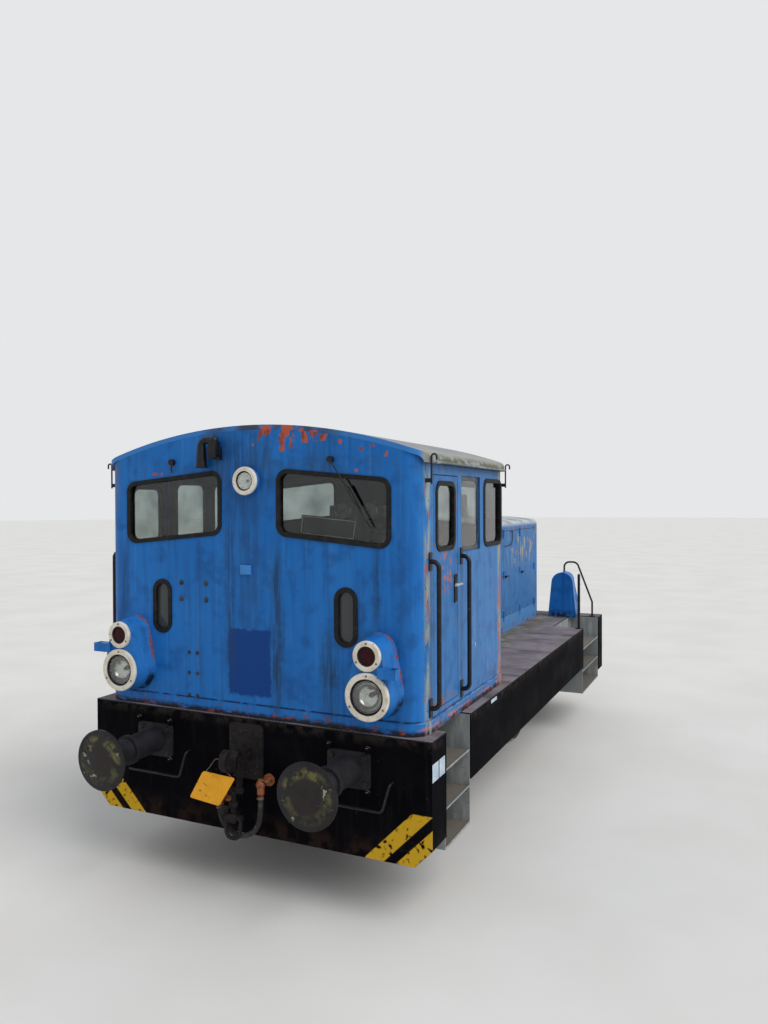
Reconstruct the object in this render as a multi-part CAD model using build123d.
# Two-axle diesel shunting locomotive, 8 m over its buffers: a wide cab at one end, a
# narrow engine hood on a high black frame, jackshaft drive with coupling rods.
# Millimetres. X is across the track, Y runs along it with the cab at the low end,
# and Z is up from the lowest point of the wheel flanges. The origin is under the middle.
from build123d import *
import os
from math import cos, radians, sin, sqrt, tan

os.makedirs("parts", exist_ok=True)

# Over the whole locomotive
LENGTH_OVER_BUFFERS = 8000
BUFFER_LENGTH = 620
FRAME_WIDTH = 3012
DECK_HEIGHT = 1313          # above the rail
GAP = 0.3                   # between surfaces that only touch
RUNNING = 0.6               # round turning shafts and pins

# Wheels on the rail
FLANGE_DEPTH = 30
WHEEL_RADIUS = 500
WHEEL_WIDTH = 135
WHEELBASE = 2500
BACK_TO_BACK = 1360
AXLE_RADIUS = 80
JACKSHAFT_RADIUS = 72
HUB_RADIUS = 150
HUB_LENGTH = 150
CRANK_RADIUS = 200
CRANK_PIN_RADIUS = 45
ROD_THICKNESS = 60
ROD_SIDE_CLEARANCE = 8
PIN_CAP_THICKNESS = 14

# Frame plates
FRAME_PLATE = 25
FRAME_PLATE_X = 620         # inner face of each inner frame plate
STAY_Y = (-2480, -620, 620, 1880)
HORN_HALF = 120             # half the gap for an axle box
DECK_PLATE = 10
SKIRT_PLATE = 10
SKIRT_DEPTH = 510           # outer side plate below the deck
SKIRT_FLANGE = 70
BEAM_PLATE = 25
BEAM_DEPTH = 880            # end beam below the deck top
BEAM_RETURN = 279           # length of the beam's side return
BEAM_CORNER_CUT = 130
JACK_PAD_X = 900

# Step recesses in the four corners
RECESS_DEPTH = 396
CAB_RECESS_WIDTH = 546
HOOD_RECESS_WIDTH = 1120
HOOD_RECESS_END = 286       # from the recess to the frame's end
STEP_PLATE = 8
STEP_PITCH = 280
STEP_COUNT = 3

# Cab
CAB_SETBACK = 36            # cab front behind the beam's face
CAB_LENGTH = 2019
CAB_HALF_WIDTH = 1420
CAB_WALL = 40
CAB_CORNER = 160
GUTTER_HEIGHT = 3224        # above the rail
ROOF_HEIGHT = 3539
ROOF_ARC_RADIUS = 4300
ROOF_OVERHANG = 37
ROOF_EDGE_RADIUS = 84
ROOF_SHEET = 37
GUTTER_SIZE = 18
SILL_HEIGHT = 92            # base strip round the cab
FLOOR_ABOVE_DECK = 135
FLOOR_BOARD = 25

# Hood
HOOD_HALF_WIDTH = 672
FRONT_DECK = 405            # open deck before the hood
HOOD_SIDE_HEIGHT = 1297     # deck to the seam under the hood roof
HOOD_CROWN = 135            # roof crown above that seam
HOOD_ROOF_ARC = 4100
HOOD_EDGE_RADIUS = 95
HOOD_CORNER = 110
HOOD_SHEET = 36
HOOD_DOOR_PITCH = 760
HOOD_DOOR_COUNT = 3
HOOD_DOOR_SHEET = 22
HOOD_DOOR_LIP = 26          # frame behind a closed hood door
HOOD_DOOR_REBATE = 30
HINGE_SETBACK = 14          # hood hinge line from its opening's edge
KNUCKLE_RADIUS = 9
HOOD_DOOR_END = 262         # from the hood's front to the first door
HOOD_PLINTH = 190           # plain strip under the doors
DOOR_GAP = 6
ENGINE_HALF = 430
ENGINE_TOP = 1080
CLUTCH_SPACE = 1200         # cab's rear wall to the engine
RADIATOR_SPACE = 700

# Cab doors
CAB_DOOR_START = 260        # from the beam's face
CAB_DOOR_WIDTH = 516
CAB_DOOR_BOTTOM = 140       # above the deck
CAB_DOOR_TOP = 1834
CAB_DOOR_SHEET = 34
LOCK_SETBACK = 76            # lock's middle from the door's free edge

# Windows
RUBBER_WIDTH = 34
RUBBER_PROUD = 9
GLASS_THICKNESS = 6
WINDOW_CORNER = 90
SASH_WIDTH = 34

# Lamps
LAMP_RING = 334
LAMP_BORE = 252
RED_RING = 212
RED_BORE = 140
RING_THICKNESS = 22
LAMP_SPACING = 280
CAB_LAMP_X = 1098
CAB_LAMP_HEIGHT = 305       # headlamp centre above the deck
CAB_LAMP_REACH = 196        # housing's face in front of the cab
HOOD_LAMP_X = 1035
HOOD_LAMP_HEIGHT = 232
HOOD_LAMP_BACK = 510        # housing's back from the frame's end
HOOD_LAMP_DEPTH = 300
TOP_LAMP_RING = 216
TOP_LAMP_BORE = 150
TOP_LAMP_REACH = 40
LAMP_POCKET = 110

# Buffers and drawgear
BUFFER_SPACING = 1750
BUFFER_HEIGHT = 1050        # above the rail
BUFFER_HEAD_RADIUS = 225
BUFFER_HEAD = 30
BUFFER_SLEEVE_RADIUS = 98
HOOK_THICKNESS = 55

# Handrails
RAIL_TUBE = 34
RAIL_STANDOFF = 68
HORN_DROP = 320             # bell's mouth under the roof's crown
HOOK_BAR_Y = 99             # roof hooks from the cab's end faces

# Brake hose
HOSE_DIAMETER = 40
HOSE_STANDOFF = 120
COCK_HEIGHT = 873            # above the rail

# Worked out from the above
END_Y = LENGTH_OVER_BUFFERS / 2 - BUFFER_LENGTH
HALF_WIDTH = FRAME_WIDTH / 2
RAIL_Z = FLANGE_DEPTH
AXLE_Z = RAIL_Z + WHEEL_RADIUS
DECK_Z = RAIL_Z + DECK_HEIGHT
DECK_UNDER = DECK_Z - DECK_PLATE
SKIRT_Z = DECK_Z - SKIRT_DEPTH
BEAM_Z = DECK_Z - BEAM_DEPTH
RECESS_X = HALF_WIDTH - RECESS_DEPTH
CAB_RECESS = (-END_Y + BEAM_RETURN, -END_Y + BEAM_RETURN + CAB_RECESS_WIDTH)
HOOD_RECESS = (END_Y - HOOD_RECESS_END - HOOD_RECESS_WIDTH, END_Y - HOOD_RECESS_END)
CAB_FRONT = -END_Y + CAB_SETBACK
CAB_REAR = CAB_FRONT + CAB_LENGTH
GUTTER_Z = RAIL_Z + GUTTER_HEIGHT
ROOF_Z = RAIL_Z + ROOF_HEIGHT
HOOD_FRONT = END_Y - FRONT_DECK
HOOD_SEAM_Z = DECK_Z + HOOD_SIDE_HEIGHT
AXLES = {"wheelset_1": -WHEELBASE / 2, "wheelset_2": WHEELBASE / 2}
WHEEL_BACK_X = BACK_TO_BACK / 2
HUB_FACE_X = WHEEL_BACK_X + HUB_LENGTH
ROD_X = HUB_FACE_X + ROD_SIDE_CLEARANCE
CRANKS = {1: (0, -CRANK_RADIUS), -1: (CRANK_RADIUS, 0)}  # side: pin's offset along Y and Z
BUFFER_Z = RAIL_Z + BUFFER_HEIGHT
CAB_DOOR_Y = (-END_Y + CAB_DOOR_START, -END_Y + CAB_DOOR_START + CAB_DOOR_WIDTH)
CAB_DOOR_Z = (DECK_Z + CAB_DOOR_BOTTOM, DECK_Z + CAB_DOOR_TOP)
CAB_HINGE_X = CAB_HALF_WIDTH - CAB_WALL - KNUCKLE_RADIUS - 0.5
CAB_HINGE_Z = (CAB_DOOR_Z[0] + 220, CAB_DOOR_Z[1] - 620, CAB_DOOR_Z[1] - 120)
LOCK_Z = RAIL_Z + 2320
FLOOR_Z = DECK_Z + FLOOR_ABOVE_DECK
CAB_LAMP_FACE = CAB_FRONT - CAB_LAMP_REACH
SIDES = (1, -1)
ENDS = (-1, 1)              # cab end, hood end


def block(x, y, z):
    """A plain block between two limits on each axis."""
    middle = Pos(sum(x) / 2, sum(y) / 2, sum(z) / 2)
    return middle * Box(abs(x[1] - x[0]), abs(y[1] - y[0]), abs(z[1] - z[0]))


def span(a, b):
    return (min(a, b), max(a, b))


def round_x(x, y, z, radius):
    """A cylinder that lies across the track."""
    return Pos(sum(x) / 2, y, z) * Rot(0, 90, 0) * Cylinder(radius, abs(x[1] - x[0]))


def round_y(x, y, z, radius):
    """A cylinder that lies along the track."""
    return Pos(x, sum(y) / 2, z) * Rot(90, 0, 0) * Cylinder(radius, abs(y[1] - y[0]))


def round_z(x, y, z, radius):
    """An upright cylinder."""
    return Pos(x, y, sum(z) / 2) * Cylinder(radius, abs(z[1] - z[0]))


def across(face, x):
    """A sketch drawn in Y and Z, thickened between two places on X."""
    low, high = span(*x)
    return extrude(Plane.YZ.offset(low) * face, high - low)


def along(face, y):
    """A sketch drawn in X and Z, thickened between two places on Y."""
    low, high = span(*y)
    return extrude(Plane.XZ.offset(-high) * face, high - low)


def bent_tube(points, radii, diameter):
    """A round tube along straight runs with tangent arcs at the corners."""
    line = FilletPolyline(*points, radius=radii)
    return sweep(Plane(origin=line @ 0, z_dir=line % 0) * Circle(diameter / 2), line)


def mirror_x(shape):
    return mirror(shape, about=Plane.YZ)


def both_sides(shape):
    return [shape, mirror_x(shape)]


def save(name, *shapes):
    solids = [solid for shape in shapes for solid in shape.solids()]
    model = solids[0] if len(solids) == 1 else Compound(children=solids)
    model.label = name
    export_step(model, f"parts/{name}.step")
    return solids


# Running gear

def wheel_profile():
    """Half section of a wheel, along the axle and out from it, flange inboard."""
    tip = WHEEL_RADIUS + FLANGE_DEPTH
    rim = WHEEL_RADIUS - 92
    tread_end = WHEEL_RADIUS - 5
    with BuildSketch(Plane.XZ) as section:
        with BuildLine():
            Polyline((0, 0), (0, rim), (0, WHEEL_RADIUS + 12))
            ThreePointArc((0, WHEEL_RADIUS + 12), (14, tip), (28, WHEEL_RADIUS + 12))
            Polyline(
                (28, WHEEL_RADIUS + 12), (36, WHEEL_RADIUS), (WHEEL_WIDTH, tread_end), (WHEEL_WIDTH, rim),
                (92, rim - 16), (84, HUB_RADIUS + 22), (HUB_LENGTH - 12, HUB_RADIUS), (HUB_LENGTH, HUB_RADIUS - 8),
                (HUB_LENGTH, 0), (0, 0))
        make_face()
    return section.sketch


def sector(inner, outer, middle, half_angle, x):
    """Part of a flat ring about the X axis, centred on one direction in degrees."""
    ring = Circle(outer) - Circle(inner)
    wedge = make_face(Polyline(
        (0, 0), (2 * outer * cos(radians(half_angle)), 2 * outer * sin(radians(half_angle))),
        (2 * outer * cos(radians(half_angle)), -2 * outer * sin(radians(half_angle))), (0, 0)))
    return across(Rot(0, 0, middle) * (ring & wedge), x)


def wheelset(y):
    wheel = Pos(WHEEL_BACK_X, 0, 0) * revolve(wheel_profile(), Axis.X)
    holes = [round_x((WHEEL_BACK_X, HUB_FACE_X), 290 * cos(radians(a)), 290 * sin(radians(a)), 44)
             for a in range(0, 360, 60)]
    wheel = wheel - holes
    body = round_x((-WHEEL_BACK_X, WHEEL_BACK_X), 0, 0, AXLE_RADIUS)
    for side in SIDES:
        pin_y, pin_z = CRANKS[side]
        one = wheel if side == 1 else mirror_x(wheel)
        web = span(side * (WHEEL_BACK_X + 70), side * (WHEEL_BACK_X + 118))
        hub = span(side * (WHEEL_BACK_X + 70), side * HUB_FACE_X)
        pin_end = ROD_X + ROD_THICKNESS + 6
        weight = sector(250, 398, 90 if pin_y == 0 else 180, 48, web)
        boss = make_hull((Circle(96).edges() + (Pos(0, CRANK_RADIUS) * Circle(72)).edges()))
        turn = 180 if pin_y == 0 else -90
        lobe = across(Rot(0, 0, turn) * boss, hub)
        pin = round_x(span(side * HUB_FACE_X, side * pin_end), pin_y, pin_z, CRANK_PIN_RADIUS)
        cap = round_x(span(side * pin_end, side * (pin_end + PIN_CAP_THICKNESS)), pin_y, pin_z, CRANK_PIN_RADIUS + 18)
        body = body + one + weight + lobe + pin + cap
    return Pos(0, y, AXLE_Z) * body


def jackshaft():
    body = round_x((-HUB_FACE_X + 60, HUB_FACE_X - 60), 0, 0, JACKSHAFT_RADIUS)
    for side in SIDES:
        pin_y, pin_z = CRANKS[side]
        disc = span(side * (HUB_FACE_X - 62), side * HUB_FACE_X)
        pin_end = ROD_X + ROD_THICKNESS + 6
        crank = round_x(disc, 0, 0, CRANK_RADIUS + 74)
        relief = sector(120, 200, 0 if pin_y == 0 else 90, 30, disc)
        other = sector(120, 200, 180 if pin_y == 0 else -90, 30, disc)
        pin = round_x(span(side * HUB_FACE_X, side * pin_end), pin_y, pin_z, CRANK_PIN_RADIUS)
        cap = round_x(span(side * pin_end, side * (pin_end + PIN_CAP_THICKNESS)), pin_y, pin_z, CRANK_PIN_RADIUS + 18)
        body = body + (crank - relief - other) + pin + cap
    return Pos(0, 0, AXLE_Z) * body


def coupling_rod(side):
    pin_y, pin_z = CRANKS[side]
    centres = [AXLES["wheelset_1"], 0, AXLES["wheelset_2"]]
    x = span(side * ROD_X, side * (ROD_X + ROD_THICKNESS))
    bar = span(side * (ROD_X + 8), side * (ROD_X + ROD_THICKNESS - 8))
    flute_depth = 12
    z = AXLE_Z + pin_z
    rod = block(bar, (centres[0] + pin_y, centres[2] + pin_y), (z - 46, z + 46))
    for a, b in zip(centres, centres[1:]):
        for face, inward in ((bar[0], 1), (bar[1], -1)):
            flute = span(face, face + inward * flute_depth)
            rod = rod - block(flute, (a + pin_y + 150, b + pin_y - 150), (z - 24, z + 24))
    for y in centres:
        rod = rod + round_x(x, y + pin_y, z, 84) + block(x, (y + pin_y - 26, y + pin_y + 26), (z + 60, z + 104))
        rod = rod - round_x(x, y + pin_y, z, CRANK_PIN_RADIUS + RUNNING)
    return rod


def axle_box_unit(side, y):
    """Axle box between the horns, with its leaf spring on top, inside the frame plate."""
    inner = FRAME_PLATE_X - 118
    x = span(side * inner, side * (FRAME_PLATE_X + FRAME_PLATE + 8))
    housing = block(x, (y - HORN_HALF + GAP, y + HORN_HALF - GAP), (AXLE_Z - 100, AXLE_Z + 128))
    housing = housing - round_x(x, y, AXLE_Z, AXLE_RADIUS + RUNNING)
    spring_x = span(side * (inner + 6), side * (FRAME_PLATE_X - 8))
    stack = AXLE_Z + 128
    for leaf in range(7):
        half = 430 - leaf * 52
        top = AXLE_Z + 250 - leaf * 14
        stack = min(stack, top)
        housing = housing + block(spring_x, (y - half, y + half), (top - 14, top))
    buckle = block(spring_x, (y - 42, y + 42), (AXLE_Z + 120, AXLE_Z + 268))
    return housing + buckle


def brake_unit(side, y, inward):
    """One brake block on its hanger, on the side of the wheel that faces the middle."""
    x = span(side * (WHEEL_BACK_X + 38), side * (WHEEL_BACK_X + WHEEL_WIDTH - 6))
    shoe_angle = 180 if inward < 0 else 0
    shoe = sector(WHEEL_RADIUS + 9, WHEEL_RADIUS + 69, shoe_angle, 17, x)
    shoe = Pos(0, y, AXLE_Z) * shoe
    hang_y = y + inward * (WHEEL_RADIUS + 62)
    hanger = block(span(side * (WHEEL_BACK_X + 52), side * (WHEEL_BACK_X + 78)),
                   (hang_y - 26, hang_y + 26), (AXLE_Z - 40, AXLE_Z + 440))
    bracket = block(span(side * (FRAME_PLATE_X + FRAME_PLATE), side * (WHEEL_BACK_X + 90)),
                    (hang_y - 30, hang_y + 30), (AXLE_Z + 400, AXLE_Z + 470))
    return shoe + hanger + bracket


def brake_beam(y, inward):
    hang_y = y + inward * (WHEEL_RADIUS + 62)
    return round_x((-(WHEEL_BACK_X + 52), WHEEL_BACK_X + 52), hang_y, AXLE_Z - 12, 24)


def rail_guard(side, end):
    """Rail guard and sand pipe ahead of an outer wheel."""
    y = end * (WHEELBASE / 2 + WHEEL_RADIUS + 190)
    x_mid = side * (BACK_TO_BACK / 2 + 70)
    x_frame = side * (FRAME_PLATE_X + FRAME_PLATE)
    plate = block(span(x_frame, x_mid + side * 60), (y - 8, y + 8), (RAIL_Z + 90, AXLE_Z + 60))
    web = block(span(x_frame, x_frame + side * 12), (y - 90, y + 90), (AXLE_Z - 60, DECK_UNDER - 320))
    pipe_x = x_mid + side * 6
    pipe_y = y - end * 62
    pipe = bent_tube(
        [(pipe_x, pipe_y - end * 62, RAIL_Z + 70), (pipe_x, pipe_y, RAIL_Z + 250), (pipe_x, pipe_y, AXLE_Z + 330)],
        [120], 42)
    clip = block(span(x_frame, pipe_x), (pipe_y - 20, pipe_y + 20), (AXLE_Z + 60, AXLE_Z + 110))
    return plate + web + clip + pipe


# Frame

def deck_plate():
    """Chequer plate in five lengths, narrower between the step recesses."""
    strips = []
    welds = (-END_Y, *CAB_RECESS, *HOOD_RECESS, END_Y)
    for y in zip(welds, welds[1:]):
        half = RECESS_X if y in (CAB_RECESS, HOOD_RECESS) else HALF_WIDTH
        strips.append(block((-half, half), y, (DECK_UNDER, DECK_Z)))
    return strips


def side_skirt(side):
    """Outer side plate with an inward flange along its lower edge."""
    y = (CAB_RECESS[1], HOOD_RECESS[0])
    plate = block(span(side * (HALF_WIDTH - SKIRT_PLATE), side * HALF_WIDTH), y, (SKIRT_Z, DECK_UNDER))
    flange = block(span(side * (HALF_WIDTH - SKIRT_FLANGE), side * HALF_WIDTH), y, (SKIRT_Z, SKIRT_Z + SKIRT_PLATE))
    return plate + flange


def end_beam(end):
    """Deep end beam: a face plate with its lower corners cut, and a short return at each side."""
    face = Polyline(
        (-HALF_WIDTH, DECK_UNDER), (-HALF_WIDTH, BEAM_Z + BEAM_CORNER_CUT), (-HALF_WIDTH + BEAM_CORNER_CUT, BEAM_Z),
        (HALF_WIDTH - BEAM_CORNER_CUT, BEAM_Z), (HALF_WIDTH, BEAM_Z + BEAM_CORNER_CUT), (HALF_WIDTH, DECK_UNDER),
        (-HALF_WIDTH, DECK_UNDER))
    behind = end * (END_Y - BEAM_PLATE)
    plates = [along(make_face(face), span(end * END_Y, behind))]
    inner = END_Y - (BEAM_RETURN if end < 0 else HOOD_RECESS_END)
    for side in SIDES:
        plates.append(block(span(side * (HALF_WIDTH - SKIRT_PLATE), side * HALF_WIDTH), span(behind, end * inner),
                            (BEAM_Z + BEAM_CORNER_CUT, DECK_UNDER)))
        plates.append(block(span(side * RECESS_X, side * HALF_WIDTH),
                            span(end * inner, end * (inner + SKIRT_PLATE)), (BEAM_Z + BEAM_CORNER_CUT, DECK_UNDER)))
        pad = block(span(side * (JACK_PAD_X - 120), side * (JACK_PAD_X + 120)),
                    span(behind, behind - end * 160), (BEAM_Z, BEAM_Z + 30))
        gusset = block(span(side * (JACK_PAD_X - 10), side * (JACK_PAD_X + 10)),
                       span(behind, behind - end * 140), (BEAM_Z + 30, BEAM_Z + 210))
        plates.append(pad + gusset)
    return plates


def step_well(side, recess):
    """Recess for the steps: back wall, two end walls and the treads."""
    y0, y1 = recess
    floor_z = DECK_UNDER - STEP_COUNT * STEP_PITCH
    back = span(side * RECESS_X, side * (RECESS_X + STEP_PLATE))
    well = [block(back, recess, (floor_z, DECK_UNDER))]
    out = span(side * (RECESS_X + STEP_PLATE), side * (HALF_WIDTH - SKIRT_PLATE))
    for a, b in ((y0, y0 + STEP_PLATE), (y1 - STEP_PLATE, y1)):
        well.append(block(out, (a, b), (floor_z, DECK_UNDER)))
    between = (y0 + STEP_PLATE, y1 - STEP_PLATE)
    for step in range(1, STEP_COUNT + 1):
        z = DECK_UNDER - step * STEP_PITCH
        lip = span(side * (HALF_WIDTH - SKIRT_PLATE - STEP_PLATE), side * (HALF_WIDTH - SKIRT_PLATE))
        well.append(block(out, between, (z, z + STEP_PLATE)) + block(lip, between, (z, z + 16)))
    return well


def frame_plates():
    """Two inner frame plates with horn gaps for the axle boxes."""
    top = DECK_UNDER
    belly = AXLE_Z + 170
    low = AXLE_Z - 140
    side = Polyline((-END_Y + BEAM_PLATE, top), (-END_Y + BEAM_PLATE, belly + 180), (-WHEELBASE / 2 - 700, belly),
                    (WHEELBASE / 2 + 700, belly), (END_Y - BEAM_PLATE, belly + 180), (END_Y - BEAM_PLATE, top),
                    (-END_Y + BEAM_PLATE, top))
    profile = make_face(side)
    for y in AXLES.values():
        profile = profile + Pos(y, (low + belly + 40) / 2) * Rectangle(480, belly + 40 - low)
        profile = profile - Pos(y, AXLE_Z + 40) * Rectangle(2 * HORN_HALF, 290)
    profile = profile + Pos(0, (low + belly) / 2) * Rectangle(620, belly - low)
    profile = profile - Pos(0, AXLE_Z) * Circle(AXLE_RADIUS + 12)
    for y in (-2350, -650, 650, 2350):
        profile = profile - Pos(y, top - 190) * RectangleRounded(460, 190, 80)
    return [across(profile, span(side * FRAME_PLATE_X, side * (FRAME_PLATE_X + FRAME_PLATE))) for side in SIDES]


def frame_stays():
    """Cross stays between the frame plates, and outriggers from them to the side skirts."""
    top = DECK_UNDER
    stays = []
    for y in STAY_Y:
        stay = block((-FRAME_PLATE_X, FRAME_PLATE_X), (y - 10, y + 10), (AXLE_Z + 300, top))
        stays.append(stay - round_y(0, (y - 10, y + 10), (AXLE_Z + 300 + top) / 2, 150))
        for side in SIDES:
            inner = side * (FRAME_PLATE_X + FRAME_PLATE)
            outer = side * (HALF_WIDTH - SKIRT_PLATE)
            wing = make_face(Polyline((inner, top), (inner, top - 260), (outer, top - 150), (outer, top), (inner, top)))
            stays.append(along(wing, (y - 8, y + 8)))
    return stays


def gearbox():
    """Final drive between the frames, round the jackshaft, hung under the deck."""
    half = FRAME_PLATE_X - 30
    case = block((-half, half), (-330, 330), (AXLE_Z - 170, AXLE_Z + 230))
    case = fillet(case.edges().filter_by(Axis.X), 70)
    neck = block((-250, 250), (-240, 240), (AXLE_Z + 200, DECK_UNDER))
    case = case + neck
    for side in SIDES:
        case = case + round_x(span(side * half, side * (FRAME_PLATE_X - GAP)), 0, AXLE_Z, 150)
    return case - round_x((-HUB_FACE_X, HUB_FACE_X), 0, AXLE_Z, JACKSHAFT_RADIUS + RUNNING)


def tank(side):
    """Tank with rounded ends and two straps, hung inside the skirt."""
    x = side * (HALF_WIDTH - 235)
    z = DECK_UNDER - 235
    radius = 165
    y = (-480, 480) if side < 0 else (-380, 480)
    body = round_y(x, y, z, radius)
    body = fillet(body.edges(), 60)
    for strap in (y[0] + 180, y[1] - 180):
        body = body + round_y(x, (strap - 25, strap + 25), z, radius + 5)
        body = body + block((x - 30, x + 30), (strap - 25, strap + 25), (z + radius - 10, DECK_UNDER))
    return body


def battery_box(side):
    x = span(side * (RECESS_X + 20), side * (HALF_WIDTH - SKIRT_FLANGE - 20))
    box = block(x, (STAY_Y[2] + 160, STAY_Y[3] - 240), (DECK_UNDER - 390, DECK_UNDER))
    return fillet(box.edges().filter_by(Axis.Y), 18)


# Ends

def buffer(side, end):
    x = side * BUFFER_SPACING / 2
    face = end * END_Y
    y = lambda reach: face + end * reach
    flange = block((x - 170, x + 170), span(y(0), y(22)), (BUFFER_Z - 130, BUFFER_Z + 130))
    flange = fillet(flange.edges().filter_by(Axis.Y), 28)
    body = flange + round_y(x, span(y(10), y(330)), BUFFER_Z, BUFFER_SLEEVE_RADIUS)
    body = body + round_y(x, span(y(300), y(345)), BUFFER_Z, BUFFER_SLEEVE_RADIUS + 14)
    body = body + round_y(x, span(y(330), y(BUFFER_LENGTH - BUFFER_HEAD)), BUFFER_Z, BUFFER_SLEEVE_RADIUS - 9)
    body = body + round_y(x, span(y(BUFFER_LENGTH - BUFFER_HEAD - 40), y(BUFFER_LENGTH - BUFFER_HEAD)), BUFFER_Z, 120)
    for dx in (-132, 132):
        for dz in (-92, 92):
            body = body + round_y(x + dx, span(y(20), y(44)), BUFFER_Z + dz, 19)
    head = round_y(x, span(y(BUFFER_LENGTH - BUFFER_HEAD), y(BUFFER_LENGTH)), BUFFER_Z, BUFFER_HEAD_RADIUS)
    crown = Pos(x, y(BUFFER_LENGTH - 1500), BUFFER_Z) * Sphere(1500)
    return body + (head & crown)


def drawgear(end):
    """Draw hook with its guard plate, and the screw coupling that hangs from it."""
    face = end * END_Y
    y = lambda reach: face + end * reach
    plate = block((-150, 150), span(y(0), y(20)), (BUFFER_Z - 190, BUFFER_Z + 225))
    plate = fillet(plate.edges().filter_by(Axis.Y), 40)
    with BuildSketch(Plane.YZ) as outline:
        with BuildLine():
            Polyline((15, -52), (150, -60), (232, -78))
            ThreePointArc((232, -78), (322, -8), (300, 78))
            Line((300, 78), (252, 92))
            ThreePointArc((252, 92), (246, 20), (196, 4))
            Polyline((196, 4), (150, 58), (15, 52), (15, -52))
        make_face()
    profile = outline.sketch.faces()[0]
    hook = extrude(profile, HOOK_THICKNESS / 2, both=True)
    if end < 0:
        hook = mirror(hook, about=Plane.XZ)
    hook = Pos(0, face, BUFFER_Z) * hook
    pin_y = y(150)
    hook = hook + round_x((-62, 62), pin_y, BUFFER_Z - 20, 20)
    pieces = plate + hook
    for side in SIDES:
        link = make_hull((Pos(pin_y, BUFFER_Z - 20) * Circle(34)).edges()
                         + (Pos(y(176), BUFFER_Z - 225) * Circle(30)).edges())
        pieces = pieces + across(link, span(side * 36, side * 54))
    pieces = pieces + round_x((-74, 74), y(176), BUFFER_Z - 225, 24)
    spindle = round_z(0, y(176), (BUFFER_Z - 470, BUFFER_Z - 200), 20)
    nut = block((-34, 34), span(y(146), y(206)), (BUFFER_Z - 260, BUFFER_Z - 196))
    lower = round_x((-74, 74), y(176), BUFFER_Z - 430, 24) + block((-34, 34), span(y(148), y(204)),
                                                                     (BUFFER_Z - 462, BUFFER_Z - 398))
    lever = round_y(0, span(y(176), y(300)), BUFFER_Z - 330, 11) + round_y(0, span(y(285), y(335)), BUFFER_Z - 330, 28)
    boss = round_z(0, y(176), (BUFFER_Z - 350, BUFFER_Z - 310), 32)
    bow_x = 62
    bow = bent_tube(
        [(-bow_x, y(176), BUFFER_Z - 430), (-bow_x, y(190), BUFFER_Z - 580), (bow_x, y(190), BUFFER_Z - 580),
         (bow_x, y(176), BUFFER_Z - 430)], [50, 50], 28)
    return pieces + spindle + nut + lower + lever + boss + bow


def brake_cock(end):
    """Angle cock on the beam and the holder for the hose's loose head."""
    face = end * END_Y
    y = lambda reach: face + end * reach
    z = RAIL_Z + COCK_HEIGHT
    x = HOSE_ROUTE[0][0]
    stub = round_y(x, span(y(0), y(HOSE_STANDOFF)), z, 24) + round_y(x, span(y(0), y(14)), z, 46)
    elbow = Pos(x, y(HOSE_STANDOFF), z) * Sphere(36)
    outlet = round_z(x, y(HOSE_STANDOFF), (HOSE_ROUTE[0][1], z), 27)
    handle = block((x - 12, x + 96), span(y(HOSE_STANDOFF - 14), y(HOSE_STANDOFF + 14)), (z + 30, z + 44))
    return stub + elbow + outlet + handle


# The hose's route: across and above the lowest point
HOSE_ROUTE = [(200, 833), (200, 757), (192, 627), (144, 545), (62, 497), (-34, 497), (-116, 545), (-164, 627), (-164, 705)]


def hose_points(end):
    """Route of the brake hose: down from the cock, round, and up to its holder."""
    return [(x, end * (END_Y + HOSE_STANDOFF), z) for x, z in HOSE_ROUTE]


def hose_radii(points):
    """The largest arc that each corner's two runs allow."""
    radii = []
    for a, b, c in zip(points, points[1:], points[2:]):
        first = Vector(*b) - Vector(*a)
        second = Vector(*c) - Vector(*b)
        turn = radians(first.get_angle(second))
        radii.append(0.45 * min(first.length, second.length) / tan(turn / 2))
    return radii


def hose_holder(end):
    """Bracket with the dummy socket that the hose's head is hung on."""
    x, y, z = hose_points(end)[-1]
    face = end * END_Y
    head = round_z(x, y, (z, z + 60), 30) + block((x - 26, x + 26), span(y - end * 10, face), (z + 24, z + 40))
    return head + block((x - 34, x + 34), span(face, face + end * 10), (z - 20, z + 90))


def grab_bar(side, end):
    """Shunter's grab bar under each buffer: a rod bent up at its right-hand end."""
    face = end * END_Y
    y = face + end * 62
    turn = -end
    shift = 0 if side == turn else -turn * BUFFER_SPACING
    outer = turn * (HALF_WIDTH - 290) + shift
    corner = turn * (HALF_WIDTH - 350) + shift
    inner = turn * (HALF_WIDTH - 866) + shift
    z_top = RAIL_Z + 998
    z_low = RAIL_Z + 798
    points = [(outer, face, z_top), (outer, y, z_top), (corner, y, z_low), (inner, y, z_low), (inner, face, z_low)]
    return bent_tube(points, [24, 40, 24], 20)


# Cab

def plan(half_width, y, corner):
    """A plan outline with rounded corners."""
    return Pos(0, sum(y) / 2) * RectangleRounded(2 * half_width, y[1] - y[0], corner)


def roof_section(inset):
    """Area under the roof's curve, down to below the deck, set in by a wall's thickness."""
    half = CAB_HALF_WIDTH + ROOF_OVERHANG - inset
    crown = ROOF_Z - inset
    radius = ROOF_ARC_RADIUS - inset
    centre = crown - radius
    edge = centre + sqrt(radius * radius - half * half)
    shape = make_face(Polyline((-half, 0), (half, 0), (half, edge), (-half, edge), (-half, 0)))
    cap = Pos(0, centre) * Circle(radius) & Pos(0, crown) * Rectangle(2 * half, 2 * (crown - edge))
    shape = shape + cap
    corners = [v for v in shape.vertices() if v.Y > edge - 1]
    return fillet(corners, ROOF_EDGE_RADIUS - inset / 2)


def window_outline(corners, radius):
    """A window shape through its corners, with rounded corners."""
    return fillet(make_face(Polyline(*corners, corners[0])).vertices(), radius)


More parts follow.
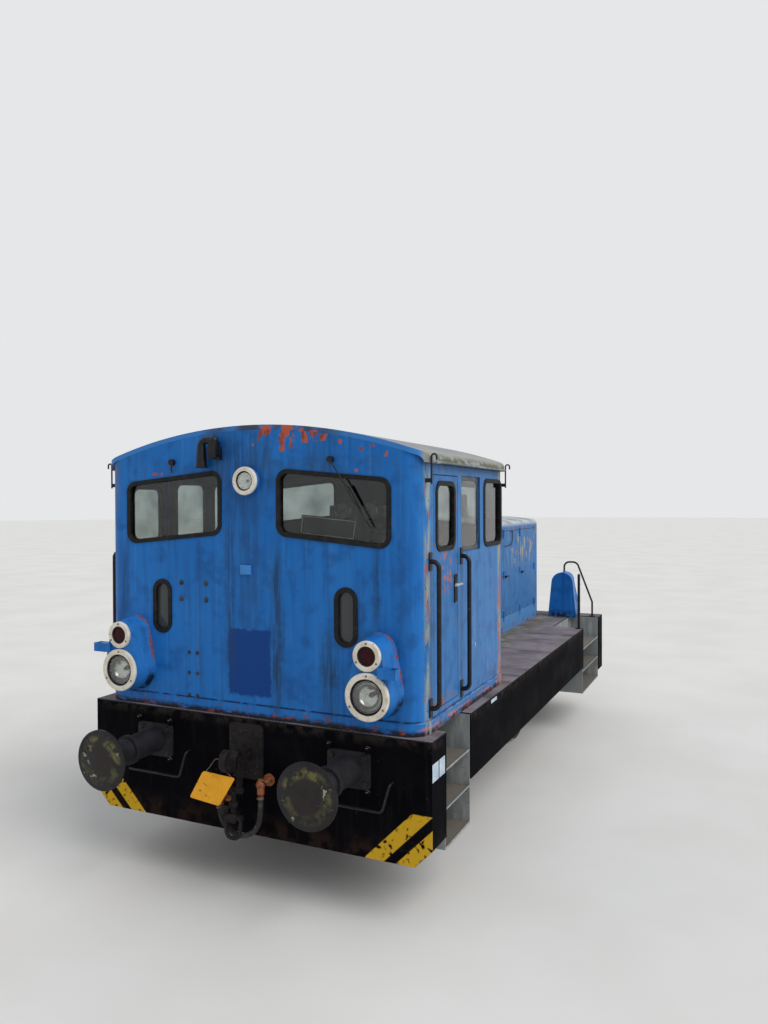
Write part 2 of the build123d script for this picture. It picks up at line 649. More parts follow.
RAISE = RAIL_Z
FRONT_WINDOW = [(250, RAISE + 3205), (1193, RAISE + 3118), (1193, RAISE + 2612), (250, RAISE + 2700)]
# Side windows: start and end behind the beam's face, then low and high above the rail
SIDE_WINDOWS = {"middle": (862, 1330, 2558, 3152), "rear": (1420, 1936, 2566, 3146)}
DOOR_WINDOW = (302, 712, 2588, 3102)
REAR_WINDOW = [(300, RAISE + 3190), (1250, RAISE + 3102), (1250, RAISE + 2702), (300, RAISE + 2790)]
OVAL = (833, 2120, 188, 434)  # centre across and above the rail, then width and height


def oval(grow=0):
    x, z, width, height = OVAL
    return Pos(x, RAISE + z) * SlotOverall(height + 2 * grow, width + 2 * grow, rotation=90)


def rectangle_corners(values, shift=-END_Y):
    a, b, low, high = values
    return [(a + shift, RAISE + high), (b + shift, RAISE + high), (b + shift, RAISE + low), (a + shift, RAISE + low)]


def end_openings():
    """Window openings of the front and rear walls: outline and wall."""
    front = (CAB_FRONT - 5, CAB_FRONT + CAB_WALL + 5)
    rear = (CAB_REAR - CAB_WALL - 5, CAB_REAR + 5)
    return [
        (window_outline(FRONT_WINDOW, WINDOW_CORNER), front),
        (oval(), front),
        (window_outline(REAR_WINDOW, WINDOW_CORNER), rear)]


def side_openings():
    middle = make_face(Polyline(*rectangle_corners(SIDE_WINDOWS["middle"]), rectangle_corners(SIDE_WINDOWS["middle"])[0]))
    return [window_outline(rectangle_corners(SIDE_WINDOWS["rear"]), WINDOW_CORNER), middle]


def inner_face(outline):
    """The clear opening inside a window's rubber."""
    return offset(outline, -RUBBER_WIDTH)


def cab_walls():
    """Four flat walls and four round corner posts, welded at the edges of the curves."""
    y = (CAB_FRONT, CAB_REAR)
    shell = extrude(Plane.XY.offset(DECK_Z) * plan(CAB_HALF_WIDTH, y, CAB_CORNER), ROOF_Z - DECK_Z)
    inside = (CAB_FRONT + CAB_WALL, CAB_REAR - CAB_WALL)
    shell = shell - extrude(Plane.XY.offset(DECK_Z) * plan(CAB_HALF_WIDTH - CAB_WALL, inside, CAB_CORNER - CAB_WALL),
                            ROOF_Z - DECK_Z)
    shell = shell & along(roof_section(ROOF_SHEET), y)
    shell = shell - block((-2000, 2000), inside, (GUTTER_Z, ROOF_Z))
    wide = CAB_HALF_WIDTH + 50
    for outline, wall in end_openings():
        cut = along(outline, wall)
        shell = shell - cut - mirror_x(cut)
    for outline in side_openings():
        shell = shell - across(outline, (-wide, wide))
    doorway = block((-wide, wide), CAB_DOOR_Y, CAB_DOOR_Z)
    shell = shell - doorway
    sill = extrude(Plane.XY.offset(DECK_Z) * (plan(CAB_HALF_WIDTH + 8, (CAB_FRONT - 8, CAB_REAR + 8), CAB_CORNER + 8)
                                              - plan(CAB_HALF_WIDTH, y, CAB_CORNER)), SILL_HEIGHT)
    behind_hood = block((-HOOD_HALF_WIDTH - GAP, HOOD_HALF_WIDTH + GAP), (CAB_REAR, CAB_REAR + 20),
                        (DECK_Z, DECK_Z + SILL_HEIGHT + 4))
    shell = shell + (sill - behind_hood)
    shell = shell + [knuckle for side in SIDES for knuckle in wall_knuckles(side)]
    corner_x = CAB_HALF_WIDTH - CAB_CORNER
    panels = []
    for x in ((-wide, -corner_x), (-corner_x, corner_x), (corner_x, wide)):
        for low, high in ((CAB_FRONT - 10, CAB_FRONT + CAB_CORNER), (CAB_FRONT + CAB_CORNER, CAB_REAR - CAB_CORNER),
                          (CAB_REAR - CAB_CORNER, CAB_REAR + 10)):
            if x[1] != corner_x or low != CAB_FRONT + CAB_CORNER:
                panels += (shell & block(x, (low, high), (DECK_Z - 1, ROOF_Z + 1))).solids()
    return panels


def cab_roof():
    y = (CAB_FRONT, CAB_REAR)
    sheet = along(roof_section(0), y) - along(roof_section(ROOF_SHEET), y)
    sheet = sheet & extrude(Plane.XY.offset(GUTTER_Z) * plan(CAB_HALF_WIDTH + ROOF_OVERHANG, y, CAB_CORNER),
                            ROOF_Z - GUTTER_Z)
    return sheet + gutter(1) + gutter(-1)


def gutter(side):
    x = CAB_HALF_WIDTH + ROOF_OVERHANG
    y = (CAB_FRONT + CAB_CORNER, CAB_REAR - CAB_CORNER)
    strip = block(span(side * (x - 20), side * (x + GUTTER_SIZE)), y, (GUTTER_Z - 6, GUTTER_Z))
    lip = block(span(side * (x + GUTTER_SIZE - 4), side * (x + GUTTER_SIZE)), y, (GUTTER_Z - 6, GUTTER_Z + 14))
    return strip + lip


def end_pieces(make):
    """One solid for each window in the end walls, on both sides."""
    pieces = []
    for outline, wall in end_openings():
        proud = -1 if wall[0] < CAB_FRONT else 1
        outer = CAB_FRONT if proud < 0 else CAB_REAR
        solid = make(outline, outer, proud)
        pieces += both_sides(solid)
    return pieces


def window_rubbers():
    def end_ring(outline, outer, proud):
        ring = outline - inner_face(outline)
        return along(ring, (outer + proud * RUBBER_PROUD, outer - proud * (CAB_WALL + 4)))
    pieces = end_pieces(end_ring)
    outline = window_outline(rectangle_corners(SIDE_WINDOWS["rear"]), WINDOW_CORNER)
    ring = across(outline - inner_face(outline), (CAB_HALF_WIDTH - CAB_WALL - 4, CAB_HALF_WIDTH + RUBBER_PROUD))
    return pieces + both_sides(ring)


def cab_glass():
    def end_pane(outline, outer, proud):
        middle = outer - proud * CAB_WALL / 2
        return along(inner_face(outline), (middle - GLASS_THICKNESS / 2, middle + GLASS_THICKNESS / 2))
    pieces = end_pieces(end_pane)
    x_mid = CAB_HALF_WIDTH - CAB_WALL / 2
    x = (x_mid - GLASS_THICKNESS / 2, x_mid + GLASS_THICKNESS / 2)
    rear = inner_face(window_outline(rectangle_corners(SIDE_WINDOWS["rear"]), WINDOW_CORNER))
    middle = sash_clear()
    return pieces + both_sides(across(rear, x)) + both_sides(across(middle, x))


def sash_outline():
    a, b, low, high = SIDE_WINDOWS["middle"]
    return window_outline(rectangle_corners((a + GAP, b - GAP, low + GAP, high - GAP)), 4)


def sash_clear():
    a, b, low, high = SIDE_WINDOWS["middle"]
    edge = SASH_WIDTH + 2
    return window_outline(rectangle_corners((a + edge, b - edge, low + edge, high - edge)), 60)


def sash():
    """Metal frame of the drop window, set back in its opening."""
    return across(sash_outline() - sash_clear(), (CAB_HALF_WIDTH - CAB_WALL, CAB_HALF_WIDTH - CAB_WALL + 26))


def cab_door(side):
    y0, y1 = CAB_DOOR_Y
    z0, z1 = CAB_DOOR_Z
    leaf = block(span(side * (CAB_HALF_WIDTH - CAB_DOOR_SHEET), side * CAB_HALF_WIDTH),
                 (y0 + DOOR_GAP, y1 - 9), (z0 + DOOR_GAP, z1 - DOOR_GAP))
    outline = window_outline(rectangle_corners(DOOR_WINDOW), WINDOW_CORNER)
    x = span(side * (CAB_HALF_WIDTH - CAB_WALL), side * (CAB_HALF_WIDTH + RUBBER_PROUD))
    leaf = leaf - across(outline, x)
    lock_y = y1 - LOCK_SETBACK
    plate = block(span(side * CAB_HALF_WIDTH, side * (CAB_HALF_WIDTH + 8)), (lock_y - 16, lock_y + 16),
                  (LOCK_Z - 138, LOCK_Z + 74))
    stem = round_x(span(side * CAB_HALF_WIDTH, side * (CAB_HALF_WIDTH + 44)), lock_y, LOCK_Z, 9)
    lever = round_y(side * (CAB_HALF_WIDTH + 40), (lock_y - 84, lock_y + 60), LOCK_Z, 9)
    leaf = leaf + plate + stem + lever
    inner = CAB_HALF_WIDTH - CAB_DOOR_SHEET
    for z in CAB_HINGE_Z:
        leaf = leaf + round_z(side * CAB_HINGE_X, y0, (z - 50, z), KNUCKLE_RADIUS)
        leaf = leaf + block(span(side * CAB_HINGE_X, side * (inner + 1)), (y0 + 1, y0 + 38), (z - 50, z))
    return leaf


def wall_knuckles(side):
    """Fixed halves of the cab door's hinges, on the wall's inner face."""
    y0 = CAB_DOOR_Y[0]
    halves = []
    for z in CAB_HINGE_Z:
        knuckle = round_z(side * CAB_HINGE_X, y0, (z + GAP, z + 50), KNUCKLE_RADIUS)
        strap = block(span(side * CAB_HINGE_X, side * (CAB_HALF_WIDTH - CAB_WALL + 1)), (y0 - 55, y0 - 1), (z + GAP, z + 50))
        halves.append(knuckle + strap)
    return halves


def door_rubber(side):
    outline = window_outline(rectangle_corners(DOOR_WINDOW), WINDOW_CORNER)
    ring = outline - inner_face(outline)
    x = span(side * (CAB_HALF_WIDTH - CAB_DOOR_SHEET), side * (CAB_HALF_WIDTH + RUBBER_PROUD))
    return across(ring, x)


def door_glass(side):
    outline = inner_face(window_outline(rectangle_corners(DOOR_WINDOW), WINDOW_CORNER))
    middle = CAB_HALF_WIDTH - CAB_DOOR_SHEET / 2
    return across(outline, span(side * (middle - GLASS_THICKNESS / 2), side * (middle + GLASS_THICKNESS / 2)))


def cab_floor():
    y = (CAB_FRONT + CAB_WALL, CAB_REAR - CAB_WALL)
    return extrude(Plane.XY.offset(FLOOR_Z - FLOOR_BOARD) * plan(CAB_HALF_WIDTH - CAB_WALL, y, CAB_CORNER - CAB_WALL),
                   FLOOR_BOARD)


def driver_desk():
    """Control desk on the bulkhead, with a sloping top and a gauge board above it."""
    back = CAB_REAR - CAB_WALL
    profile = make_face(Polyline(
        (back, FLOOR_Z), (back - 430, FLOOR_Z), (back - 430, FLOOR_Z + 900), (back - 300, FLOOR_Z + 1080),
        (back - 170, FLOOR_Z + 1120), (back, FLOOR_Z + 1120), (back, FLOOR_Z)))
    board = make_face(Polyline(
        (back, FLOOR_Z + 1100), (back - 165, FLOOR_Z + 1100), (back - 150, FLOOR_Z + 1470), (back, FLOOR_Z + 1470),
        (back, FLOOR_Z + 1100)))
    desk = across(profile, (-520, 520)) + across(board, (-300, 290))
    for x in (-130, 150):
        desk = desk + round_y(x, (back - 190, back - 100), FLOOR_Z + 1420, 88)
    brake_stand = round_z(360, back - 330, (FLOOR_Z + 950, FLOOR_Z + 1230), 32)
    lever = round_y(360, (back - 480, back - 320), FLOOR_Z + 1225, 12)
    return desk + brake_stand + lever


def driver_seat():
    x, y = (-420, CAB_REAR - 1050)
    seat = round_z(x, y, (FLOOR_Z, FLOOR_Z + 16), 170) + round_z(x, y, (FLOOR_Z, FLOOR_Z + 620), 38)
    pad = block((x - 220, x + 220), (y - 210, y + 210), (FLOOR_Z + 610, FLOOR_Z + 690))
    back = block((x - 205, x + 205), (y - 230, y - 170), (FLOOR_Z + 740, FLOOR_Z + 1080))
    post = block((x - 30, x + 30), (y - 215, y - 195), (FLOOR_Z + 630, FLOOR_Z + 800))
    return seat + fillet(pad.edges(), 28) + fillet(back.edges(), 22) + post


# Hood

def hood_section(inset):
    half = HOOD_HALF_WIDTH - inset
    crown = HOOD_SEAM_Z + HOOD_CROWN - inset
    centre = crown - (HOOD_ROOF_ARC - inset)
    radius = HOOD_ROOF_ARC - inset
    edge = centre + sqrt(radius * radius - half * half)
    shape = make_face(Polyline((-half, 0), (half, 0), (half, edge), (-half, edge), (-half, 0)))
    shape = shape + (Pos(0, centre) * Circle(radius) & Pos(0, crown) * Rectangle(2 * half, 2 * (crown - edge)))
    return fillet([v for v in shape.vertices() if v.Y > edge - 1], HOOD_EDGE_RADIUS - inset / 2)


def hood_plan(inset, back):
    """Hood outline in plan: square where it meets the cab, round at the front corners."""
    half = HOOD_HALF_WIDTH - inset
    front = HOOD_FRONT - inset
    face = make_face(Polyline((-half, back), (half, back), (half, front), (-half, front), (-half, back)))
    return fillet([v for v in face.vertices() if v.Y > front - 1], HOOD_CORNER - inset)


def hood_door_spans():
    """Start and end of each door opening along the hood, front one last."""
    last = HOOD_FRONT - HOOD_DOOR_END
    return [(last - (i + 1) * HOOD_DOOR_PITCH, last - i * HOOD_DOOR_PITCH) for i in reversed(range(HOOD_DOOR_COUNT))]


HOOD_DOOR_Z = (DECK_Z + HOOD_PLINTH, HOOD_SEAM_Z - 26)
HINGE_X = HOOD_HALF_WIDTH + KNUCKLE_RADIUS - 0.5
GRILLE_X = 470
GRILLE_Z = (DECK_Z + 330, HOOD_SEAM_Z - 60)
LOUVRE_Y = (CAB_REAR + 320, CAB_REAR + 1420)
LOUVRE_Z = (DECK_Z + 420, HOOD_SEAM_Z - 160)


def hood_shell():
    shell = extrude(Plane.XY.offset(DECK_Z) * hood_plan(0, CAB_REAR + GAP), HOOD_SEAM_Z - DECK_Z)
    shell = shell - extrude(Plane.XY.offset(DECK_Z) * hood_plan(HOOD_SHEET, CAB_REAR), HOOD_SEAM_Z - DECK_Z)
    wide = HOOD_HALF_WIDTH + 50
    for y0, y1 in hood_door_spans():
        shell = shell - block((-wide, wide), (y0 + HOOD_DOOR_LIP, y1 - HOOD_DOOR_LIP),
                              (HOOD_DOOR_Z[0] + HOOD_DOOR_LIP, HOOD_DOOR_Z[1] - HOOD_DOOR_LIP))
        for side in SIDES:
            rebate = span(side * (HOOD_HALF_WIDTH - HOOD_DOOR_REBATE), side * wide)
            shell = shell - block(rebate, (y0, y1), HOOD_DOOR_Z)
    shell = shell - block((-wide, wide), LOUVRE_Y, LOUVRE_Z)
    shell = shell - block((-GRILLE_X, GRILLE_X), (HOOD_FRONT - 60, HOOD_FRONT + 10), GRILLE_Z)
    z0, z1 = HOOD_DOOR_Z
    for y0, y1 in hood_door_spans():
        for side in SIDES:
            hinge = (side * HINGE_X, y1 - HINGE_SETBACK)
            shell = shell + round_z(*hinge, (z1 + GAP, HOOD_SEAM_Z - 4), KNUCKLE_RADIUS)
            shell = shell + round_z(*hinge, (z0 - 44, z0 - GAP), KNUCKLE_RADIUS)
            for z in ((z1 + GAP, HOOD_SEAM_Z - 4), (z0 - 44, z0 - GAP)):
                root = span(side * (HOOD_HALF_WIDTH - 2), side * HINGE_X)
                shell = shell + block(root, (hinge[1] - KNUCKLE_RADIUS, hinge[1] + KNUCKLE_RADIUS), z)
    return hood_panels(shell)


def hood_panels(shell):
    """The shell cut into its welded panels, at each door, louvre and grille."""
    wide = HOOD_HALF_WIDTH + 50
    welds = [CAB_REAR, *LOUVRE_Y]
    for y0, y1 in hood_door_spans():
        welds += [y0 + HOOD_DOOR_LIP, y1 - HOOD_DOOR_LIP]
    welds += [HOOD_FRONT - HOOD_CORNER, HOOD_FRONT]
    panels = []
    for y in zip(welds, welds[1:]):
        if y[1] < HOOD_FRONT:
            panels += (shell & block((-wide, wide), y, (DECK_Z, HOOD_SEAM_Z))).solids()
    for x in ((-wide, -GRILLE_X), (-GRILLE_X, GRILLE_X), (GRILLE_X, wide)):
        front = shell & block(x, (HOOD_FRONT - HOOD_CORNER, HOOD_FRONT), (DECK_Z, HOOD_SEAM_Z))
        panels += front.solids()
    return panels


def hood_roof():
    y = (CAB_REAR + GAP, HOOD_FRONT)
    sheet = along(hood_section(0), y) - along(hood_section(HOOD_SHEET), (y[0] - 1, y[1] - HOOD_SHEET))
    sheet = sheet & extrude(Plane.XY.offset(HOOD_SEAM_Z) * hood_plan(0, y[0]), HOOD_CROWN + 10)
    return sheet


def slats(width, z, y, pitch, depth, lean):
    """Slanting slats between two side rails, drawn across the hood's front."""
    low, high = z
    count = int((high - low - 40) // pitch)
    rails = [block(span(side * (width - 14), side * width), y, z) for side in SIDES]
    rails += [block((-width, width), y, (low, low + 14)), block((-width, width), y, (high - 14, high))]
    rails += [block((-10, 10), (y[0], y[0] + 12), z)]
    blades = []
    for i in range(count):
        centre = low + 30 + pitch * (i + 0.5)
        blades.append(Pos(0, sum(y) / 2, centre) * Rot(lean, 0, 0) * Box(2 * width - 8, depth, 4))
    grille = rails[0]
    for piece in rails[1:] + blades:
        grille = grille + piece
    return grille


def radiator_grille():
    return slats(GRILLE_X - GAP, (GRILLE_Z[0] + GAP, GRILLE_Z[1] - GAP), (HOOD_FRONT - HOOD_SHEET, HOOD_FRONT - 2), 46, 28, 35)


def side_louvre(side):
    half = (LOUVRE_Y[1] - LOUVRE_Y[0]) / 2 - GAP
    frame = slats(half, (LOUVRE_Z[0] + GAP, LOUVRE_Z[1] - GAP), (-HOOD_SHEET / 2, HOOD_SHEET / 2), 58, 30, 35)
    turned = Rot(0, 0, -90 * side) * frame
    return Pos(side * (HOOD_HALF_WIDTH - HOOD_SHEET / 2), sum(LOUVRE_Y) / 2, 0) * turned


def hood_door(side, y):
    """Hood door: flush sheet with a stiffened rim, knuckles on its front edge and a turn latch."""
    y0, y1 = y
    z0, z1 = HOOD_DOOR_Z
    x0 = HOOD_HALF_WIDTH - HOOD_DOOR_SHEET
    x1 = HOOD_HALF_WIDTH
    leaf = block(span(side * x0, side * x1), (y0 + DOOR_GAP / 2, y1 - DOOR_GAP / 2), (z0 + DOOR_GAP, z1 - DOOR_GAP))
    leaf = leaf - block(span(side * (x0 - 1), side * (x1 - 6)), (y0 + 45, y1 - 45), (z0 + 45, z1 - 45))
    latch_y = y0 + 60
    latch_z = DECK_Z + 700
    latch = round_x(span(side * (x1 - 6), side * (x1 + 24)), latch_y, latch_z, 14)
    handle = block(span(side * (x1 + 14), side * (x1 + 26)), (latch_y - 12, latch_y + 86), (latch_z - 9, latch_z + 9))
    leaf = leaf + latch + handle
    hinge_y = y1 - HINGE_SETBACK
    middle = (z0 + z1) / 2
    for z in ((z0, z0 + 90), (middle - 45, middle + 45), (z1 - 90, z1)):
        low, high = max(z[0], z0 + DOOR_GAP), min(z[1], z1 - DOOR_GAP)
        strap = block(span(side * (x1 - 2), side * HINGE_X), (hinge_y - 16, hinge_y + 4), (low, high))
        leaf = leaf + (round_z(side * HINGE_X, hinge_y, z, KNUCKLE_RADIUS) + strap)
    return leaf


def engine_block():
    y = (CAB_REAR + CLUTCH_SPACE, HOOD_FRONT - RADIATOR_SPACE)
    sump = block((-ENGINE_HALF + 60, ENGINE_HALF - 60), y, (DECK_Z, DECK_Z + 420))
    crankcase = block((-ENGINE_HALF, ENGINE_HALF), (y[0] + 120, y[1] - 60), (DECK_Z + 300, DECK_Z + 760))
    heads = block((-ENGINE_HALF + 150, ENGINE_HALF - 150), (y[0] + 200, y[1] - 160), (DECK_Z + 700, DECK_Z + ENGINE_TOP))
    fan = round_y(0, (y[1] - 80, y[1] + 120), DECK_Z + 640, 260)
    flywheel = round_y(0, (y[0] - 90, y[0] + 130), DECK_Z + 420, 300)
    return sump + crankcase + heads + fan + flywheel


def exhaust():
    y = CAB_REAR + 2900
    top = HOOD_SEAM_Z + HOOD_CROWN
    pipe = round_z(0, y, (top + GAP, top + 300), 62) - round_z(0, y, (top + 20, top + 310), 54)
    return pipe + round_z(0, y, (top + GAP, top + 14), 105) - round_z(0, y, (top, top + 30), 40)


# Lamps

def twin_outline(x, z, low_radius, high_radius, spacing):
    """Outline round a headlamp and the smaller lamp above it."""
    return make_hull((Pos(x, z) * Circle(low_radius)).edges() + (Pos(x, z + spacing) * Circle(high_radius)).edges())


def lamp_places():
    """Every lamp: across, face's place along, height, outward direction, ring and bore."""
    places = []
    for side in SIDES:
        z = DECK_Z + CAB_LAMP_HEIGHT
        places.append((side * CAB_LAMP_X, CAB_LAMP_FACE, z, -1, LAMP_RING, LAMP_BORE))
        places.append((side * CAB_LAMP_X, CAB_LAMP_FACE, z + LAMP_SPACING, -1, RED_RING, RED_BORE))
        z = DECK_Z + HOOD_LAMP_HEIGHT
        y = END_Y - HOOD_LAMP_BACK + HOOD_LAMP_DEPTH
        places.append((side * HOOD_LAMP_X, y, z, 1, LAMP_RING, LAMP_BORE))
        places.append((side * HOOD_LAMP_X, y, z + LAMP_SPACING, 1, RED_RING, RED_BORE))
    places.append((0, CAB_FRONT - TOP_LAMP_REACH, RAIL_Z + 3113, -1, TOP_LAMP_RING, TOP_LAMP_BORE))
    places.append((0, HOOD_FRONT + TOP_LAMP_REACH, HOOD_SEAM_Z + 20, 1, TOP_LAMP_RING, TOP_LAMP_BORE))
    return places


def lamp_pocket(place):
    x, y, z, out, ring, bore = place
    depth = LAMP_POCKET if bore == LAMP_BORE else 40
    return round_y(x, span(y, y - out * depth), z, bore / 2)


def arch_foot():
    """Where the arched rail stands on the top of the hood-end lamp housing."""
    top = DECK_Z + HOOD_LAMP_HEIGHT + LAMP_SPACING + 122
    return HOOD_LAMP_X - 23, END_Y - HOOD_RECESS_END + 40, top


def lamp_housings():
    pieces = []
    z = DECK_Z + CAB_LAMP_HEIGHT
    base = twin_outline(CAB_LAMP_X, z, LAMP_RING / 2 + 24, RED_RING / 2 + 30, LAMP_SPACING)
    face = twin_outline(CAB_LAMP_X, z, LAMP_RING / 2 - 4, RED_RING / 2 - 4, LAMP_SPACING)
    housing = loft([Plane.XZ.offset(-CAB_FRONT) * base, Plane.XZ.offset(-CAB_LAMP_FACE) * face], ruled=True)
    bracket_x = (CAB_LAMP_X + 95, CAB_LAMP_X + 230)
    bracket_z = (DECK_Z + CAB_LAMP_HEIGHT + 142, DECK_Z + CAB_LAMP_HEIGHT + 210)
    bracket = block(bracket_x, (CAB_LAMP_FACE - 50, CAB_LAMP_FACE + 26), bracket_z)
    bracket = bracket - block((bracket_x[1] - 50, bracket_x[1] - 8), (CAB_LAMP_FACE - 42, CAB_LAMP_FACE + 18), bracket_z)
    cab = housing + bracket
    y0 = END_Y - HOOD_LAMP_BACK
    y1 = y0 + HOOD_LAMP_DEPTH
    low = DECK_Z + HOOD_LAMP_HEIGHT
    foot = Pos(HOOD_LAMP_X, DECK_Z + 20) * Rectangle(390, 40)
    back = make_hull((Pos(HOOD_LAMP_X, low + LAMP_SPACING - 30) * Circle(150)).edges() + foot.edges())
    front_foot = Pos(HOOD_LAMP_X, DECK_Z + 20) * Rectangle(350, 40)
    front = make_hull((Pos(HOOD_LAMP_X, low + LAMP_SPACING) * Circle(112)).edges() + front_foot.edges())
    hood = loft([Plane.XZ.offset(-y0) * back, Plane.XZ.offset(-y1) * front], ruled=True)
    hood = hood + along(twin_outline(HOOD_LAMP_X, low, LAMP_RING / 2 - 2, RED_RING / 2 - 2, LAMP_SPACING), (y1 - 120, y1))
    foot_x, foot_y, foot_z = arch_foot()
    hood = hood + round_z(foot_x, foot_y, (foot_z - 60, foot_z), 20)
    for place in lamp_places():
        if place[0] > 0 and place[3] < 0:
            cab = cab - lamp_pocket(place)
        if place[0] > 0 and place[3] > 0:
            hood = hood - lamp_pocket(place)
    pieces += both_sides(cab) + both_sides(hood)
    for place in lamp_places():
        x, y, z, out, ring, bore = place
        if x == 0:
            wall = CAB_FRONT if out < 0 else HOOD_FRONT
            can = round_y(0, span(y, wall), z, ring / 2 - 6) - round_y(0, span(y, y - out * 30), z, bore / 2)
            pieces.append(can)
    return pieces


def lamp_rims():
    rims = []
    for x, y, z, out, ring, bore in lamp_places():
        rim = round_y(x, span(y, y + out * RING_THICKNESS), z, ring / 2) - round_y(x, span(y, y + out * 40), z, bore / 2)
        outer = rim.edges().filter_by(GeomType.CIRCLE).group_by(SortBy.RADIUS)[-1].sort_by(Axis.Y)
        rims.append(fillet([outer[-1] if out > 0 else outer[0]], 9))
    return rims


def reflectors():
    bowls = []
    for x, y, z, out, ring, bore in lamp_places():
        if bore != LAMP_BORE:
            continue
        with BuildSketch(Plane.XY) as section:
            with BuildLine():
                Polyline((0, -96), (34, -96))
                ThreePointArc((34, -96), (98, -58), (bore / 2 - GAP, 0))
                Line((bore / 2 - GAP, 0), (bore / 2 - 8, 0))
                ThreePointArc((bore / 2 - 8, 0), (90, -56), (30, -90))
                Polyline((30, -90), (0, -90), (0, -96))
            make_face()
        bowl = revolve(section.sketch, Axis.Y)
        bulb = round_y(0, (-94, -62), 0, 14) + Pos(0, -58, 0) * Sphere(18)
        bowl = bowl + bulb
        if out < 0:
            bowl = mirror(bowl, about=Plane.XZ)
        bowls.append(Pos(x, y - out * 8, z) * bowl)
    return bowls


def lenses(red):
    discs = []
    for x, y, z, out, ring, bore in lamp_places():
        if red == (bore == RED_BORE):
            disc = round_y(x, span(y - out * 4, y + out * 10), z, bore / 2 - GAP)
            discs.append(disc)
    return discs


# Fittings

def horn():
    """Air horn: a stout bell that points down from an elbow, and its valve on a bracket."""
    x, z = (-391, ROOF_Z - HORN_DROP)
    y = CAB_FRONT - 62
    lip = round_z(x, y, (z, z + 8), 50)
    bell = Pos(x, y, z + 95) * Cone(42, 31, 174)
    elbow = bent_tube([(x, y, z + 150), (x, y, z + 212), (x + 118, y, z + 212)], [46], 58)
    joint = Pos(x + 118, y, z + 208) * Sphere(36)
    body = block((x + 84, x + 152), (y - 28, y + 34), (z + 78, z + 200))
    flange = block((x + 72, x + 164), (y - 34, y + 40), (z + 96, z + 106))
    foot = block((x + 86, x + 150), (y + 20, CAB_FRONT), (z + 60, z + 160))
    return lip + bell + elbow + joint + body + flange + foot


def wipers():
    """Right wiper with arm and blade; the left one has only its spindle and a stub of arm."""
    pieces = []
    for side, z in ((1, RAIL_Z + 3258), (-1, RAIL_Z + 3272)):
        x = side * 718
        spindle = round_y(x, (CAB_FRONT - 34, CAB_FRONT), z, 24)
        if side > 0:
            arm = bent_tube([(x, CAB_FRONT - 26, z), (x + 30, CAB_FRONT - 30, z - 40), (x + 290, CAB_FRONT - 30, z - 440)],
                            [30], 11)
            blade = bent_tube([(x + 150, CAB_FRONT - 20, z - 190), (x + 190, CAB_FRONT - 18, z - 260),
                               (x + 318, CAB_FRONT - 18, z - 486)], [60], 16)
            spindle = spindle + arm + blade
        else:
            spindle = spindle + bent_tube([(x, CAB_FRONT - 24, z), (x, CAB_FRONT - 24, z - 50), (x + 6, CAB_FRONT - 24, z - 84)],
                                          [30], 12)
        pieces.append(spindle)
    return pieces


def cab_handrails():
    rails = []
    x = CAB_HALF_WIDTH + RAIL_STANDOFF
    for y in (-END_Y + 192, -END_Y + 848):
        low, high = (RAIL_Z + 1492, RAIL_Z + 2528)
        tube = bent_tube([(CAB_HALF_WIDTH, y, low), (x, y, low), (x, y, high), (CAB_HALF_WIDTH, y, high)], [48, 48], RAIL_TUBE)
        for z in (low, high):
            tube = tube + block((CAB_HALF_WIDTH, CAB_HALF_WIDTH + 10), (y - 24, y + 24), (z - 65, z + 65))
        rails += both_sides(tube)
    return rails


def roof_hooks():
    """Curled hooks of round bar beside the roof's corners."""
    hooks = []
    x = CAB_HALF_WIDTH + ROOF_OVERHANG
    z = GUTTER_Z
    for y in (CAB_FRONT + HOOK_BAR_Y, CAB_REAR - HOOK_BAR_Y):
        points = [(x, y, z - 150), (x, y, z + 58), (x + 38, y, z + 58), (x + 38, y, z + 16)]
        hook = bent_tube(points, [18, 18], 13)
        wall_x = CAB_HALF_WIDTH - CAB_CORNER + sqrt(CAB_CORNER ** 2 - (CAB_CORNER - HOOK_BAR_Y - 4) ** 2)
        hooks += both_sides(hook + block((wall_x + GAP, x), (y - 4, y + 4), (z - 140, z - 110)))
    return hooks


def deck_posts():
    """Grab post before the hood-end steps, and the arched rail beside each lamp housing."""
    rails = []
    x = HALF_WIDTH - 46
    y = HOOD_RECESS[0] - 62
    post = round_z(x, y, (DECK_Z, DECK_Z + 690), RAIL_TUBE / 2) + round_z(x, y, (DECK_Z, DECK_Z + 12), 46)
    post = post + Pos(x, y, DECK_Z + 690) * Sphere(RAIL_TUBE / 2)
    rails += both_sides(post)
    x, y, z = arch_foot()
    knee = z + 131
    end_x = HOOD_LAMP_X + 374
    arch = bent_tube([(x, y, z), (x, y, knee), (x + 182, y, knee), (end_x, y, DECK_Z + 202), (end_x, y, DECK_Z)],
                     [75, 80, 60], 26)
    rails += both_sides(arch + round_z(end_x, y, (DECK_Z, DECK_Z + 10), 36))
    return rails


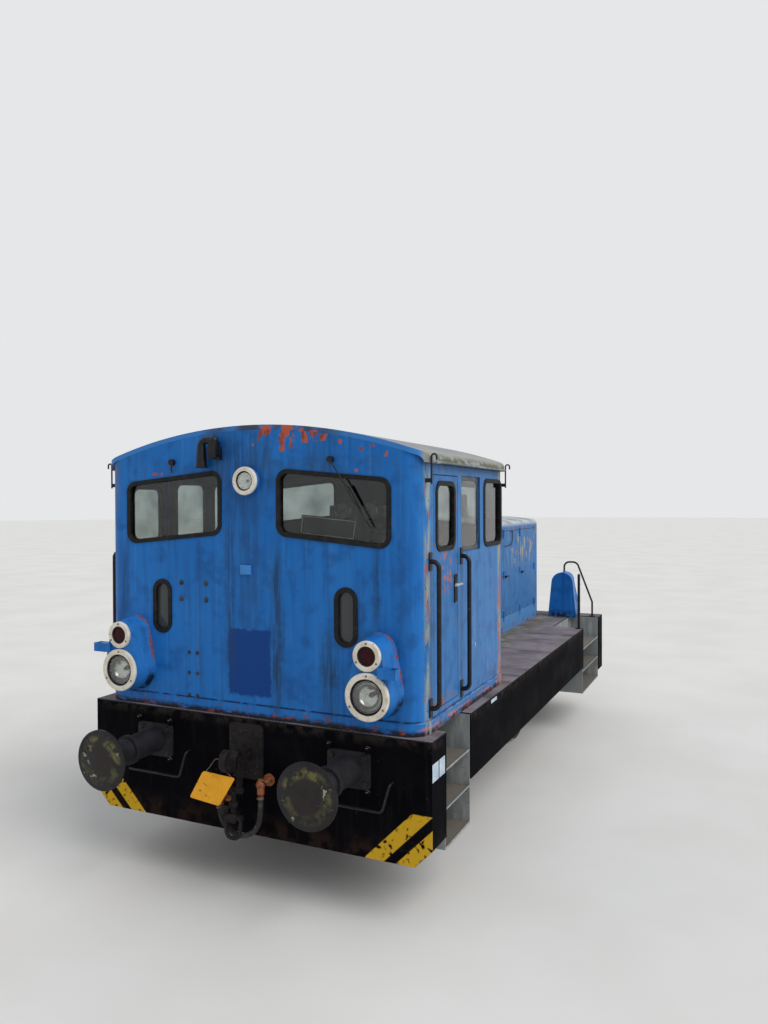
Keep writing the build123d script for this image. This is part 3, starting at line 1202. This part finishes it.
# Write every sub-part
save("deck_plate", *deck_plate())
save("side_skirts", side_skirt(1), side_skirt(-1))
save("frame_plates", *frame_plates())
save("frame_stays", *frame_stays())
save("beam_cab_end", *end_beam(-1))
save("beam_hood_end", *end_beam(1))
save("step_wells", *[plate for side in SIDES for recess in (CAB_RECESS, HOOD_RECESS) for plate in step_well(side, recess)])
save("buffers", *[buffer(side, end) for side in SIDES for end in ENDS])
save("drawgear", drawgear(-1), drawgear(1))
for label, end in (("cab_end", -1), ("hood_end", 1)):
    route = hose_points(end)
    corners = hose_radii(route)
    print("brake hose radii:", [round(r) for r in corners])
    save(f"brake_hose_{label}", bent_tube(route, corners, HOSE_DIAMETER))
save("brake_cocks", brake_cock(-1), brake_cock(1), hose_holder(-1), hose_holder(1))
save("axle_boxes", *[axle_box_unit(side, y) for side in SIDES for y in AXLES.values()])
save("brake_gear", *[brake_unit(side, y, -1 if y > 0 else 1) for side in SIDES for y in AXLES.values()],
     *[brake_beam(y, -1 if y > 0 else 1) for y in AXLES.values()])
save("rail_guards", *[rail_guard(side, end) for side in SIDES for end in ENDS])
save("gearbox", gearbox())
save("underfloor_tanks", tank(1), tank(-1), battery_box(1), battery_box(-1))
save("engine_block", engine_block())
save("cab_walls", *cab_walls())
save("cab_roof", cab_roof())
save("cab_floor", cab_floor())
save("driver_desk", driver_desk())
save("driver_seat", driver_seat())
save("cab_glass", *cab_glass())
save("window_rubbers", *window_rubbers())
save("window_sashes", *both_sides(sash()))
save("hood_shell", *hood_shell())
save("hood_roof", hood_roof())
save("hood_grilles", radiator_grille(), side_louvre(1), side_louvre(-1))
save("exhaust_stack", exhaust())
save("lamp_housings", *lamp_housings())
save("lamp_rims", *lamp_rims())
save("headlamp_reflectors", *reflectors())
save("headlamp_lenses", *lenses(False))
save("tail_lamp_lenses", *lenses(True))
save("horn", horn())
save("wipers", *wipers())
save("handrails", *cab_handrails(), *deck_posts(), *roof_hooks(), *[grab_bar(side, end) for side in SIDES for end in ENDS])
for word, side in (("right", 1), ("left", -1)):
    save(f"cab_door_{word}", cab_door(side))
    save(f"cab_door_{word}_rubber", door_rubber(side))
    save(f"cab_door_{word}_glass", door_glass(side))
    for number, places in enumerate(hood_door_spans(), 1):
        save(f"hood_door_{word}_{number}", hood_door(side, places))
    save(f"coupling_rod_{word}", coupling_rod(side))
for name, y in AXLES.items():
    save(name, wheelset(y))
save("jackshaft", jackshaft())
